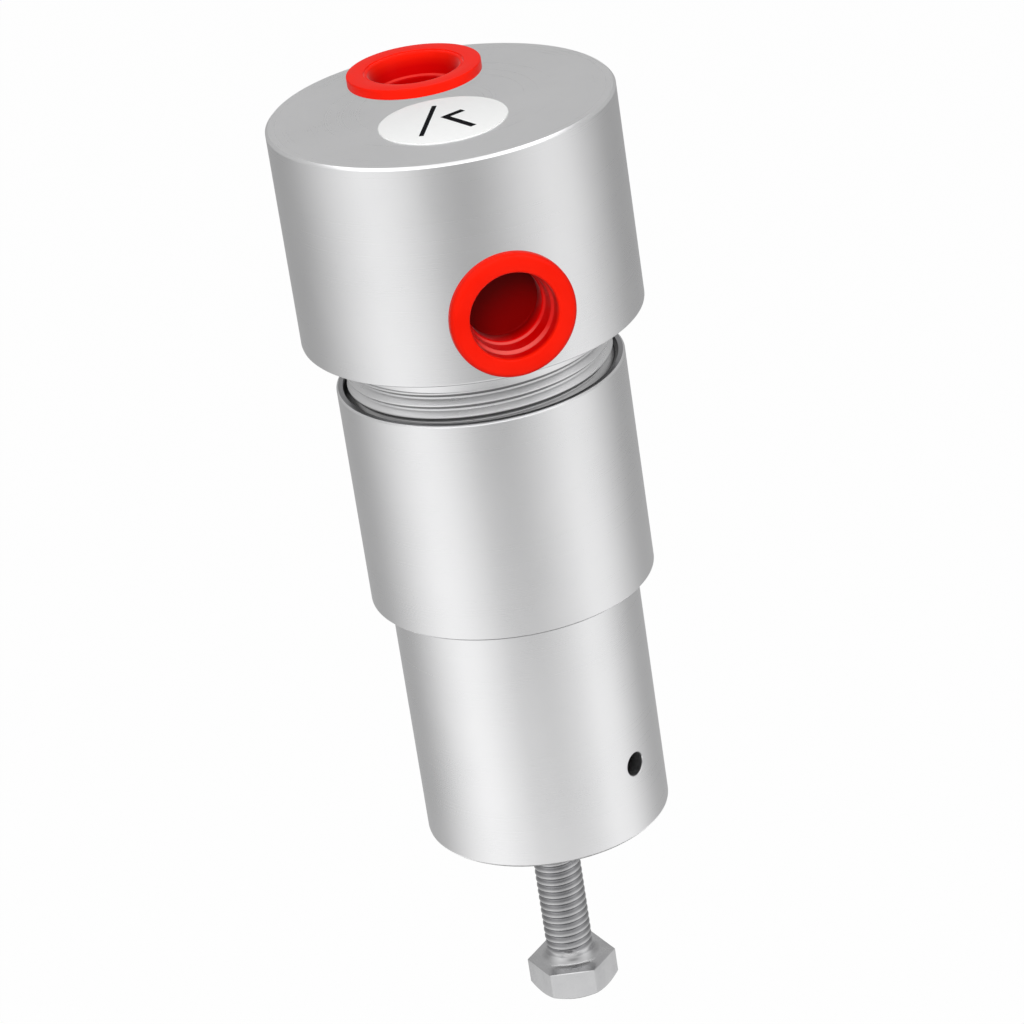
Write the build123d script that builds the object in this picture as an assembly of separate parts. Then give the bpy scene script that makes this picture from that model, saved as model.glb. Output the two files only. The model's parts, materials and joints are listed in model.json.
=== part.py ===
"""Air regulating valve: a diaphragm valve in a turned aluminium head, a spring housing screwed
on below it, an adjusting screw, and a red transit plug in each port.
Millimetres, +Z up along the valve's axis. The origin is on the axis at the spring housing's
shoulder, and the side port faces -Y."""

import os
from math import sqrt

from build123d import *

# Head and neck, turned in one piece
head_radius = 27.5
head_height = 36.0
head_edge = 0.42
neck_radius = 21.45
neck_length = 20.5
neck_lead_in = 1.0
neck_gap = 8.5  # open thread between the head and the spring housing's rim
relief_depth = 1.3
relief_width = 2.0

# Spring housing: a wide collar on the neck's thread, and a barrel below its shoulder
collar_wall = 1.75
collar_length = 37.5  # rim to shoulder
collar_edge = 0.3
rim_bevel = 0.7
barrel_radius = 20.25
barrel_length = 43.3
barrel_edge = 0.4
barrel_floor = 7.3
spring_room_radius = 16.0
vent_radius = 2.0
vent_height = 12.5  # above the barrel's lower face
vent_azimuth = 36.0  # degrees, from the side port towards +X
vent_edge = 0.22

# Ports, one pipe thread for both, bored to its minor radius
port_radius = 7.475
port_depth = 14.0
port_mouth = 8.6
side_port_drop = 25.5  # below the head's top face
top_port_offset = 15.3  # from the axis, away from the side port
outlet_passage_radius = 2.5
nozzle_passage_radius = 3.0
inlet_passage_radius = 2.5
inlet_passage_offset = 12.0
strainer_thickness = 2.0
strainer_edge = 0.4
strainer_margin = 0.2  # beyond the inlet passage's far side

# Diaphragm room in the neck, the nozzle in its roof and the nozzle's seal
room_wall = 5.45  # of the neck round the diaphragm room
room_depth = 7.0
nozzle_thread_radius = 5.0
nozzle_thread_length = 9.5
nozzle_thread_bevel = 0.5
nozzle_hex_flats = 14.0
nozzle_hex_height = 2.0
nozzle_tip_height = 1.0
nozzle_tip_radius = 4.0
nozzle_lip_radius = 2.6
nozzle_bore_radius = 1.75
seal_cord = 1.5

# Diaphragm, the ring that clamps its rim, and what moves with its middle
diaphragm_thickness = 0.8
roll_radius = 1.2  # at the middle of the sheet
slip_ring_thickness = 2.0
slip_ring_edge = 0.2
pressure_plate_gap = 4.0  # between the room's wall and the plate's edge
pressure_plate_thickness = 1.5
pressure_plate_edge = 0.5
spring_plate_gap = 3.0  # the same for this plate, where the diaphragm's roll lies
spring_plate_thickness = 3.0
spring_plate_edge = 0.8
spring_pilot_height = 4.0
stem_radius = 3.0
cup_radius = 4.8
cup_height = 2.2
cup_floor = 1.0
pad_radius = 3.85
washer_radius = 5.5
washer_thickness = 1.2
washer_slit = 0.9
nut_flats = 10.0
nut_height = 5.0
stem_past_nut = 1.5
stem_tip_bevel = 0.5

# Range spring, the button under it and the ball between button and screw
spring_mean_radius = 10.75
spring_wire = 3.5
spring_turns = 6.5
spring_sides = 8  # of the wire's section
button_overhang = 0.5  # beyond the spring's outside
button_thickness = 4.0
button_pilot_height = 3.0
button_edge = 0.7
ball_radius = 3.0
socket_radius = 2.6
dimple_radius = 1.8

# Adjusting screw
screw_radius = 3.96
screw_length = 50.0
screw_exposed = 29.0  # from the barrel's lower face to the bearing face of the screw's head
screw_tip_bevel = 0.8
screw_hex_flats = 13.0
screw_hex_height = 5.3
screw_hex_bevel = 1.0
screw_hex_turn = -15.7  # degrees, of a corner from +X
screw_flare = 1.5
screw_hole_bevel = 0.6

# Transit plugs
plug_wall = 0.6
plug_step = 0.5
plug_floor = 1.2
plug_lead_in = 1.2
top_flange_radius = 10.8
top_flange_thickness = 1.6
top_flange_edge = 0.3
top_mouth_radius = 7.8
top_mouth_depth = 1.5
top_skirt_depth = 9.0
top_step_depth = 3.8  # below the flange's face
side_flange_radius = 10.0
side_flange_thickness = 2.0
side_flange_round = 0.9
side_mouth_round = 0.4
side_skirt_depth = 8.0
side_step_depths = (2.6, 5.8)  # below the flange's face

# Round label
label_radius = 10.1
label_thickness = 0.15
label_centre = (-1.65, -8.0)

# Clearances
thread_clearance = 0.05
bore_clearance = 0.03
screw_clearance = 0.09
plug_clearance = 0.075
seat_clearance = 0.02
pilot_clearance = 0.4
slip_clearance = 0.15
roll_clearance = 0.3  # of the slip ring's hole beyond the diaphragm room
past = 1.0  # how far a cut runs past the face that it breaks

# Heights along the axis
rim_z = collar_length
head_bottom_z = rim_z + neck_gap
head_top_z = head_bottom_z + head_height
neck_end_z = head_bottom_z - neck_length
room_roof_z = neck_end_z + room_depth
seal_groove_z = room_roof_z + seal_cord + 2 * bore_clearance
nozzle_bore_z = room_roof_z + nozzle_thread_length + past
seat_z = room_roof_z - nozzle_hex_height - nozzle_tip_height
side_port_z = head_top_z - side_port_drop
inlet_floor_z = head_top_z - port_depth - strainer_thickness
diaphragm_z = neck_end_z - diaphragm_thickness
ledge_z = diaphragm_z - slip_ring_thickness
plate_top_z = neck_end_z + pressure_plate_thickness
spring_top_z = diaphragm_z - spring_plate_thickness
pilot_end_z = spring_top_z - spring_pilot_height
washer_end_z = pilot_end_z - washer_thickness
nut_end_z = washer_end_z - nut_height
stem_end_z = nut_end_z - stem_past_nut
barrel_end_z = -barrel_length
spring_room_floor_z = barrel_end_z + barrel_floor
bearing_z = barrel_end_z - screw_exposed
screw_tip_z = bearing_z + screw_length
ball_z = screw_tip_z + sqrt(ball_radius**2 - dimple_radius**2) + seat_clearance
button_z = ball_z + ball_radius * sqrt(2) - socket_radius + seat_clearance
spring_bottom_z = button_z + button_thickness

# Radii that follow from the ones above
collar_bore = neck_radius + thread_clearance
collar_radius = collar_bore + collar_wall
slip_ring_radius = collar_bore - slip_clearance
room_radius = neck_radius - room_wall
slip_ring_hole = room_radius + roll_clearance
pressure_plate_radius = room_radius - pressure_plate_gap
spring_plate_radius = room_radius - spring_plate_gap
roll_centre_radius = room_radius - spring_plate_gap / 2
spring_pilot_radius = spring_mean_radius - spring_wire / 2 - pilot_clearance
button_radius = spring_mean_radius + spring_wire / 2 + button_overhang
strainer_radius = top_port_offset - inlet_passage_offset + inlet_passage_radius + strainer_margin
seal_groove_radius = nozzle_thread_radius + seal_cord + 2 * bore_clearance
plug_skirt_radius = port_radius - plug_clearance


def turned(*corners):
    """Solid of revolution about Z, from the corners (radius, height) of its half section."""
    outline = Polyline(*[(radius, 0, height) for radius, height in corners], close=True)
    return revolve(make_face(outline), Axis.Z)


def drum(radius, low, high):
    return Pos(0, 0, (low + high) / 2) * Cylinder(radius, high - low)


def washer(outer, inner, low, high):
    return drum(outer, low, high) - drum(inner, low - past, high + past)


def hexagon(flats, low, high):
    """Hexagonal prism with a corner towards +X."""
    blank = RegularPolygon(flats / sqrt(3), 6)
    return extrude(Pos(0, 0, low) * blank, high - low)


def rims(shape):
    """The shape's circular edges, from the narrowest to the widest."""
    return shape.edges().filter_by(GeomType.CIRCLE).sort_by(SortBy.RADIUS)


def at_top_port(shape):
    return Pos(0, top_port_offset, head_top_z) * shape


def at_side_port(shape):
    """Turns a shape whose way out is +Z to face -Y at the side port's mouth."""
    return Pos(0, -head_radius, side_port_z) * Rot(90, 0, 0) * shape


def port_bore():
    """One port: its bore and its countersunk mouth, into a face at height 0."""
    return turned(
        (0, -port_depth),
        (port_radius, -port_depth),
        (port_radius, port_radius - port_mouth),
        (port_mouth, 0),
        (port_mouth, past),
        (0, past),
    )


def valve_body():
    relief_radius = neck_radius - relief_depth
    relief_z = head_bottom_z - relief_width
    body = turned(
        (0, neck_end_z),
        (neck_radius - neck_lead_in, neck_end_z),
        (neck_radius, neck_end_z + neck_lead_in),
        (neck_radius, relief_z - relief_depth),
        (relief_radius, relief_z),
        (relief_radius, head_bottom_z),
        (head_radius - head_edge, head_bottom_z),
        (head_radius, head_bottom_z + head_edge),
        (head_radius, head_top_z - head_edge),
        (head_radius - head_edge, head_top_z),
        (0, head_top_z),
    )
    body -= drum(room_radius, neck_end_z - past, room_roof_z)
    body -= drum(seal_groove_radius, room_roof_z - past, seal_groove_z)
    body -= drum(nozzle_thread_radius, room_roof_z - past, nozzle_bore_z)
    body -= drum(nozzle_passage_radius, nozzle_bore_z - past, side_port_z + nozzle_passage_radius)
    body -= at_side_port(port_bore())
    cross_end = -head_radius - outlet_passage_radius
    body -= at_side_port(drum(outlet_passage_radius, cross_end, past - port_depth))
    body -= at_top_port(port_bore())
    strainer_pocket = drum(strainer_radius + bore_clearance, inlet_floor_z, head_top_z - past)
    body -= Pos(0, top_port_offset, 0) * strainer_pocket
    inlet_passage = drum(inlet_passage_radius, room_roof_z - past, inlet_floor_z + past)
    body -= Pos(0, inlet_passage_offset, 0) * inlet_passage
    return body


def spring_housing():
    """Collar and barrel in one, bored for the neck's thread, the spring and the screw."""
    screw_hole = screw_radius + screw_clearance
    shell = turned(
        (screw_hole, spring_room_floor_z),
        (spring_room_radius, spring_room_floor_z),
        (spring_room_radius, ledge_z),
        (collar_bore, ledge_z),
        (collar_bore, rim_z - rim_bevel),
        (collar_bore + rim_bevel, rim_z),
        (collar_radius - collar_edge, rim_z),
        (collar_radius, rim_z - collar_edge),
        (collar_radius, collar_edge),
        (collar_radius - collar_edge, 0),
        (barrel_radius, 0),
        (barrel_radius, barrel_end_z + barrel_edge),
        (barrel_radius - barrel_edge, barrel_end_z),
        (screw_hole + screw_hole_bevel, barrel_end_z),
        (screw_hole, barrel_end_z + screw_hole_bevel),
    )
    vent = turned(
        (0, 0),
        (vent_radius, 0),
        (vent_radius, barrel_radius - vent_edge),
        (vent_radius + vent_edge + past, barrel_radius + past),
        (0, barrel_radius + past),
    )
    vent_z = barrel_end_z + vent_height
    return shell - Pos(0, 0, vent_z) * Rot(0, 0, vent_azimuth) * Rot(90, 0, 0) * vent


def nozzle_seat():
    """Brass nozzle: thread, hexagon and a raised lip that the pad closes."""
    hex_z = room_roof_z - nozzle_hex_height
    thread_top_z = room_roof_z + nozzle_thread_length
    thread_radius = nozzle_thread_radius - bore_clearance
    nozzle = turned(
        (0, seat_z),
        (nozzle_lip_radius, seat_z),
        (nozzle_tip_radius, hex_z),
        (thread_radius, hex_z),
        (thread_radius, thread_top_z - nozzle_thread_bevel),
        (thread_radius - nozzle_thread_bevel, thread_top_z),
        (0, thread_top_z),
    )
    nozzle += hexagon(nozzle_hex_flats, hex_z, room_roof_z)
    lip_face = nozzle_lip_radius - nozzle_bore_radius
    bore = turned(
        (0, seat_z - past),
        (nozzle_bore_radius + lip_face / 2, seat_z - past),
        (nozzle_bore_radius + lip_face / 2, seat_z),
        (nozzle_bore_radius, seat_z + lip_face / 2),
        (nozzle_bore_radius, thread_top_z + past),
        (0, thread_top_z + past),
    )
    return nozzle - bore


def nozzle_seal():
    middle = nozzle_thread_radius + bore_clearance + seal_cord / 2
    return Pos(0, 0, room_roof_z + bore_clearance + seal_cord / 2) * Torus(middle, seal_cord / 2)


def inlet_strainer():
    """Sintered disc in the top port's floor."""
    disc = drum(strainer_radius, inlet_floor_z, inlet_floor_z + strainer_thickness)
    disc = chamfer(disc.edges().group_by(Axis.Z)[-1], strainer_edge)
    return Pos(0, top_port_offset, 0) * disc


def diaphragm():
    """Fabric-backed rubber sheet with one roll between its clamped rim and its plates."""
    middle_z = (neck_end_z + diaphragm_z) / 2
    hole = stem_radius + bore_clearance
    rim = slip_ring_radius - bore_clearance
    sheet = washer(rim, hole, diaphragm_z, neck_end_z)
    centre = (roll_centre_radius, 0, middle_z)
    half = diaphragm_thickness / 2
    plane = Plane(origin=centre, x_dir=(1, 0, 0), z_dir=(0, -1, 0))
    below = Pos(0, -roll_radius - half) * Rectangle(4 * roll_radius, 2 * roll_radius + 2 * half)
    roll = (Circle(roll_radius + half) & below) - Circle(roll_radius - half)
    valley = Rectangle(2 * (roll_radius - half), 2 * diaphragm_thickness)
    sheet -= revolve(plane * valley, Axis.Z)
    return sheet + revolve(plane * roll, Axis.Z)


def slip_ring():
    ring = washer(slip_ring_radius, slip_ring_hole, ledge_z, diaphragm_z)
    return chamfer(rims(ring)[:2], slip_ring_edge)


def pressure_plate():
    plate = washer(pressure_plate_radius, stem_radius + bore_clearance, neck_end_z, plate_top_z)
    return chamfer(rims(plate)[-2:], pressure_plate_edge)


def spring_plate():
    """Plate under the diaphragm with a pilot that centres the spring."""
    hole = stem_radius + bore_clearance
    plate = turned(
        (hole, pilot_end_z),
        (spring_pilot_radius - spring_plate_edge, pilot_end_z),
        (spring_pilot_radius, pilot_end_z + spring_plate_edge),
        (spring_pilot_radius, spring_top_z),
        (spring_plate_radius, spring_top_z),
        (spring_plate_radius, diaphragm_z),
        (hole, diaphragm_z),
    )
    top_edge = rims(plate).group_by(Axis.Z)[-1].sort_by(SortBy.RADIUS)[-1]
    return chamfer(top_edge, spring_plate_edge)


def valve_stem():
    """Stud through diaphragm and plates, with a cup at its upper end for the pad."""
    cup_top_z = plate_top_z + cup_height
    pad_floor_z = plate_top_z + cup_floor
    return turned(
        (0, stem_end_z),
        (stem_radius - stem_tip_bevel, stem_end_z),
        (stem_radius, stem_end_z + stem_tip_bevel),
        (stem_radius, plate_top_z),
        (cup_radius, plate_top_z),
        (cup_radius, cup_top_z),
        (pad_radius + bore_clearance, cup_top_z),
        (pad_radius + bore_clearance, pad_floor_z),
        (0, pad_floor_z),
    )


def valve_pad():
    return drum(pad_radius, plate_top_z + cup_floor, seat_z)


def lock_washer():
    """Split spring washer."""
    hole = stem_radius + bore_clearance
    ring = washer(washer_radius, hole, washer_end_z, pilot_end_z)
    middle_z = (washer_end_z + pilot_end_z) / 2
    slit = Box(washer_radius, washer_slit, 2 * washer_thickness)
    return ring - Pos(washer_radius / 2, 0, middle_z) * slit


def stem_nut():
    nut = hexagon(nut_flats, nut_end_z, washer_end_z)
    half_corner = nut_flats / sqrt(3)
    edge = half_corner - nut_flats / 2
    envelope = turned(
        (0, nut_end_z),
        (nut_flats / 2, nut_end_z),
        (half_corner, nut_end_z + edge / sqrt(3)),
        (half_corner, washer_end_z - edge / sqrt(3)),
        (nut_flats / 2, washer_end_z),
        (0, washer_end_z),
    )
    hole = drum(stem_radius + bore_clearance, nut_end_z - past, washer_end_z + past)
    return (nut & envelope) - hole


def range_spring():
    """Round wire coil with both ends ground flat."""
    length = spring_top_z - spring_bottom_z
    path = Helix(pitch=length / spring_turns, height=length, radius=spring_mean_radius)
    wire = RegularPolygon(spring_wire / 2, spring_sides, major_radius=False)
    coil = sweep(Plane(origin=path @ 0, z_dir=path % 0) * wire, path, is_frenet=True)
    ground = Box(4 * spring_mean_radius, 4 * spring_mean_radius, length)
    return Pos(0, 0, spring_bottom_z) * (coil & Pos(0, 0, length / 2) * ground)


def spring_button():
    """Seat under the spring, with a pilot above and the ball's socket below."""
    pilot_top_z = spring_bottom_z + button_pilot_height
    return turned(
        (0, button_z + socket_radius),
        (socket_radius, button_z),
        (button_radius - button_edge, button_z),
        (button_radius, button_z + button_edge),
        (button_radius, spring_bottom_z),
        (spring_pilot_radius, spring_bottom_z),
        (spring_pilot_radius, pilot_top_z - button_edge),
        (spring_pilot_radius - button_edge, pilot_top_z),
        (0, pilot_top_z),
    )


def thrust_ball():
    return Pos(0, 0, ball_z) * Sphere(ball_radius)


def adjusting_screw():
    """Hexagon screw; its head hangs below and its dimpled tip carries the ball."""
    end_z = bearing_z - screw_hex_height
    shank = turned(
        (0, end_z + screw_hex_height / 2),
        (screw_radius, end_z + screw_hex_height / 2),
        (screw_radius, screw_tip_z - screw_tip_bevel),
        (screw_radius - screw_tip_bevel, screw_tip_z),
        (dimple_radius, screw_tip_z),
        (0, screw_tip_z - dimple_radius),
    )
    half_corner = screw_hex_flats / sqrt(3)
    crown = turned(
        (0, end_z),
        (half_corner - sqrt(3) * screw_hex_bevel, end_z),
        (half_corner, end_z + screw_hex_bevel),
        (half_corner, bearing_z),
        (0, bearing_z),
    )
    head = hexagon(screw_hex_flats, end_z, bearing_z) & crown
    foot_radius = screw_radius + screw_flare
    flare = drum(foot_radius, bearing_z, bearing_z + screw_flare)
    flare -= Pos(0, 0, bearing_z + screw_flare) * Torus(foot_radius, screw_flare)
    return Rot(0, 0, screw_hex_turn) * (shank + head + flare)


def top_plug():
    """Cup with a wide flange, a bevelled mouth and one step inside."""
    inner = plug_skirt_radius - plug_wall
    face = top_flange_thickness
    step_z = face - top_step_depth
    floor_z = plug_floor - top_skirt_depth
    return at_top_port(turned(
        (0, -top_skirt_depth),
        (plug_skirt_radius - plug_wall, -top_skirt_depth),
        (plug_skirt_radius, plug_lead_in - top_skirt_depth),
        (plug_skirt_radius, 0),
        (top_flange_radius, 0),
        (top_flange_radius, face - top_flange_edge),
        (top_flange_radius - top_flange_edge, face),
        (top_mouth_radius, face),
        (inner, face - top_mouth_depth),
        (inner, step_z),
        (inner - plug_step, step_z - plug_step / 2),
        (inner - plug_step, floor_z),
        (0, floor_z),
    ))


def side_plug():
    """Cup with a rounded flange and two steps inside."""
    mouth = plug_skirt_radius - plug_wall + side_mouth_round / 2
    face = side_flange_thickness
    floor_z = plug_floor - side_skirt_depth
    corners = [
        (0, -side_skirt_depth),
        (plug_skirt_radius - plug_wall, -side_skirt_depth),
        (plug_skirt_radius, plug_lead_in - side_skirt_depth),
        (plug_skirt_radius, 0),
        (side_flange_radius, 0),
        (side_flange_radius, face),
        (mouth, face),
    ]
    inner = mouth
    for depth in side_step_depths:
        corners += [(inner, face - depth), (inner - plug_step, face - depth - plug_step / 2)]
        inner -= plug_step
    corners += [(inner, floor_z), (0, floor_z)]
    plug = turned(*corners)
    plug = fillet(rims(plug).group_by(Axis.Z)[-1].sort_by(SortBy.RADIUS)[-1], side_flange_round)
    plug = fillet(rims(plug).group_by(Axis.Z)[-1].sort_by(SortBy.RADIUS)[0], side_mouth_round)
    return at_side_port(plug)


def label():
    return Pos(*label_centre, 0) * drum(label_radius, head_top_z, head_top_z + label_thickness)


pieces = {
    "valve_body": valve_body,
    "spring_housing": spring_housing,
    "nozzle_seat": nozzle_seat,
    "nozzle_o_ring": nozzle_seal,
    "inlet_strainer": inlet_strainer,
    "diaphragm": diaphragm,
    "slip_ring": slip_ring,
    "round_label": label,
    "pressure_plate": pressure_plate,
    "valve_pad": valve_pad,
    "valve_stem": valve_stem,
    "spring_plate": spring_plate,
    "stem_lock_washer": lock_washer,
    "stem_nut": stem_nut,
    "range_spring": range_spring,
    "spring_button": spring_button,
    "thrust_ball": thrust_ball,
    "adjusting_screw": adjusting_screw,
    "top_port_plug": top_plug,
    "side_port_plug": side_plug,
}

os.makedirs("parts", exist_ok=True)
for name, make in pieces.items():
    export_step(make(), f"parts/{name}.step")
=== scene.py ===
import json
from math import asin, atan2, ceil, cos, hypot, pi, radians, sin, sqrt, tan

import bmesh
import bpy
from mathutils import Matrix, Vector


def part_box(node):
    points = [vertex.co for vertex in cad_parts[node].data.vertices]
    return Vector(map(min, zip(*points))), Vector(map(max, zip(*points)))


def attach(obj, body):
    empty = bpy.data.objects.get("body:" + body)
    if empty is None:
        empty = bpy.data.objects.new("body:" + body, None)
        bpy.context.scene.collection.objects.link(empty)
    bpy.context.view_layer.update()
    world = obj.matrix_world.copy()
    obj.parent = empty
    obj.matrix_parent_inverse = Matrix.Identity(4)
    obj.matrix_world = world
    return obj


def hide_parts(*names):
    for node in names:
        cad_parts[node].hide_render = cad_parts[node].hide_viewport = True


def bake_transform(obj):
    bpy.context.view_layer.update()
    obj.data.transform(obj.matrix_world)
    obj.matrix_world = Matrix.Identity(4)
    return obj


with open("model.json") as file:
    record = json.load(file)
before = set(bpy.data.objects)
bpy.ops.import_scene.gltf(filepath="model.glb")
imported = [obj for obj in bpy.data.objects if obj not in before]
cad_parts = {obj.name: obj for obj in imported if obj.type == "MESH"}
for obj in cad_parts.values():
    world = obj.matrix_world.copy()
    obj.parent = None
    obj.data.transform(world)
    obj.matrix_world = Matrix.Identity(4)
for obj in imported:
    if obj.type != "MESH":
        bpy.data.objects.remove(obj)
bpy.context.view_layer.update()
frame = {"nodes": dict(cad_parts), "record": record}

mm = 0.001
print("frame loaded:", len(frame["nodes"]), "nodes")

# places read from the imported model, in mm
bodyLow, bodyHigh = [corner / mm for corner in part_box("valve_body")]
housingLow, housingHigh = [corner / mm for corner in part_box("spring_housing")]
screwLow, screwHigh = [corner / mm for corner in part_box("adjusting_screw")]
topPlugLow, topPlugHigh = [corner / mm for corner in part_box("top_port_plug")]
sidePlugLow, sidePlugHigh = [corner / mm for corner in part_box("side_port_plug")]
labelLow, labelHigh = [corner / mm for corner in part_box("round_label")]
headRadius, headTop, neckEnd = bodyHigh.x, bodyHigh.z, bodyLow.z
collarRadius, rimHeight, barrelEnd = housingHigh.x, housingHigh.z, housingLow.z
topPort = Vector((0, (topPlugLow.y + topPlugHigh.y) / 2, headTop))
sidePort = Vector((0, -headRadius, (sidePlugLow.z + sidePlugHigh.z) / 2))
towardsSidePort = Matrix.Rotation(radians(90), 4, "X")   # turns +Z to -Y

# camera, solved from the photograph's outlines
photoView = {
    "place": (-132.18, -602.92, 295.17),   # mm
    "azimuth": -12.5,                      # degrees round Z, from -Y
    "lookDown": 24.705,
    "roll": -8.737,
    "lens": 147.37,                        # mm
    "sensor": 36,                          # mm
}


def addCamera():
    data = bpy.data.cameras.new("photoCamera")
    data.lens = photoView["lens"]
    data.sensor_width = photoView["sensor"]
    data.clip_start, data.clip_end = 0.01, 20
    camera = bpy.data.objects.new("photoCamera", data)
    turn = Matrix.Rotation(radians(photoView["azimuth"]), 4, "Z")
    tilt = Matrix.Rotation(radians(90 - photoView["lookDown"]), 4, "X")
    roll = Matrix.Rotation(radians(photoView["roll"]), 4, "Z")
    camera.matrix_world = Matrix.Translation(Vector(photoView["place"]) * mm) @ turn @ tilt @ roll
    bpy.context.scene.collection.objects.link(camera)
    bpy.context.scene.camera = camera


addCamera()
print("camera placed")


# finishes
def addNode(tree, kind, inputs=None, **settings):
    node = tree.nodes.new(kind)
    for key, value in settings.items():
        setattr(node, key, value)
    for key, value in (inputs or {}).items():
        if hasattr(value, "is_output"):
            tree.links.new(value, node.inputs[key])
        else:
            node.inputs[key].default_value = value
    return node


def newFinish(name, **constants):
    material = bpy.data.materials.new(name)
    material.use_nodes = True
    tree = material.node_tree
    shader = tree.nodes["Principled BSDF"]
    for socket, value in constants.items():
        shader.inputs[socket].default_value = value
    return material, tree, shader


def sumNode(tree, operation, *values):
    # one sum or comparison of sockets and numbers
    return addNode(tree, "ShaderNodeMath", dict(enumerate(values)), operation=operation).outputs[0]


def vectorNode(tree, operation, output, *values):
    node = addNode(tree, "ShaderNodeVectorMath", dict(enumerate(values)), operation=operation)
    return node.outputs[output]


def mixedTone(tree, share, before, after):
    # before where the share is zero, after where it is one: each is a socket or a colour
    first, second = [tone if hasattr(tone, "is_output") else (*tone, 1) for tone in (before, after)]
    return addNode(tree, "ShaderNodeMix", {0: share, 6: first, 7: second}, data_type="RGBA").outputs[2]


def tones(tree, source, stops):
    # a ramp between two (place, colour) stops
    node = tree.nodes.new("ShaderNodeValToRGB")
    tree.links.new(source, node.inputs["Fac"])
    for end, (place, colour) in zip(node.color_ramp.elements, stops):
        end.position, end.color = place, (*colour, 1)
    return node.outputs["Color"]


def spread(tree, source, low, high, fromLow=0.3, fromHigh=0.7):
    # low to high, as the source goes from one level to the other
    node = addNode(tree, "ShaderNodeMapRange", {
        "Value": source, "From Min": fromLow, "From Max": fromHigh, "To Min": low, "To Max": high})
    return node.outputs["Result"]


def objectPlace(tree):
    return addNode(tree, "ShaderNodeTexCoord").outputs["Object"]


def noise(tree, place, scale, detail=3.0, roughness=0.6, **settings):
    inputs = {"Scale": scale, "Detail": detail, "Roughness": roughness}
    inputs["W" if settings.get("noise_dimensions") == "1D" else "Vector"] = place
    return addNode(tree, "ShaderNodeTexNoise", inputs, **settings).outputs["Fac"]


def emboss(tree, shader, source, strength, distance):
    inputs = {"Height": source, "Strength": strength, "Distance": distance * mm}
    bump = addNode(tree, "ShaderNodeBump", inputs)
    tree.links.new(bump.outputs["Normal"], shader.inputs["Normal"])


def reachFromAxis(tree, place):
    apart = addNode(tree, "ShaderNodeSeparateXYZ", {"Vector": place})
    across = addNode(tree, "ShaderNodeCombineXYZ", {"X": apart.outputs["X"], "Y": apart.outputs["Y"]})
    return vectorNode(tree, "LENGTH", "Value", across.outputs["Vector"]), apart.outputs["Z"]


# the Z of a normal on the underside of a thread's turns, where their painted shade is full and where there
# is none
fullShadeFacing, noShadeFacing = -0.78, -0.3


def paintedThreadShade(tree, reach, height, tone, look):
    # painted shade: full within the first radius of the root reach, fading out up to the second, and under
    # the turns
    low, high = look["rootReach"]
    inputs = {"Value": reach, "From Min": low * mm, "From Max": high * mm}
    proud = addNode(tree, "ShaderNodeMapRange", inputs, interpolation_type="SMOOTHSTEP").outputs["Result"]
    normal = tree.nodes.new("ShaderNodeNewGeometry").outputs["Normal"]
    facing = addNode(tree, "ShaderNodeSeparateXYZ", {"Vector": normal}).outputs["Z"]
    upwards = spread(tree, facing, 0.0, 1.0, fullShadeFacing, noShadeFacing)
    unshaded = sumNode(tree, "MULTIPLY", proud, upwards)
    # painted shade, darker low down towards the housing's rim
    if "oilReach" in look:
        start, end = look["oilReach"]
        shadeNearRim = spread(tree, height, 1 - look["oilShare"], 1.0, start * mm, end * mm)
        unshaded = sumNode(tree, "MULTIPLY", unshaded, shadeNearRim)
    past = sumNode(tree, "GREATER_THAN", height, look["threadTop"] * mm)
    return mixedTone(tree, sumNode(tree, "MAXIMUM", unshaded, past), look["rootColour"], tone)


# satin turned aluminium: fine cutter lines round the axis, and a faint cloudiness
aluminium = {
    "colour": (0.885, 0.885, 0.89),
    "dullColour": (0.85, 0.85, 0.857),
    # painted shade: nearly black under the thread's turns and in the room inside the neck
    "rootColour": (0.02, 0.02, 0.021),
    "rootReach": (19.9, 20.2),  # mm, which takes in the room inside the neck alone
    "threadTop": 42.45,        # mm, where the plain neck starts
    "threadMetallic": 0.78,    # a cut thread is duller
    "oilReach": (36.5, 38.3),  # mm, painted shade rises up the thread from the rim
    "oilShare": 0.55,
    # painted shade and a painted dark reflection on the housing's rim, and painted shade on its bevel
    "rimColour": (0.38, 0.38, 0.39),
    "rimDepth": 0.75,          # mm, how far down the rim's painted shade goes
    "rimInset": 0.29,          # mm, from the collar's outside
    "bevelColour": (0.1, 0.1, 0.105),
    "bevelInset": 1.05,        # mm, the same for the bevel
    "roughness": (0.27, 0.30),
    "cutterLines": 8200,       # per metre
    "lineDepth": 0.004,        # mm
    "lineStrength": 0.006,
    "cloudSize": 70,           # per metre
}


def paintedRimShade(tree, reach, height, tone, look):
    # painted shade and a painted dark reflection on the housing's rim, and painted shade on the bevel inside
    # it
    onRim = sumNode(tree, "GREATER_THAN", height, (rimHeight - look["rimDepth"]) * mm)
    inside = sumNode(tree, "LESS_THAN", reach, (collarRadius - look["rimInset"]) * mm)
    onBevel = sumNode(tree, "LESS_THAN", reach, (collarRadius - look["bevelInset"]) * mm)
    rimShading = mixedTone(tree, onBevel, look["rimColour"], look["bevelColour"])
    return mixedTone(tree, sumNode(tree, "MULTIPLY", onRim, inside), tone, rimShading)


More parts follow.
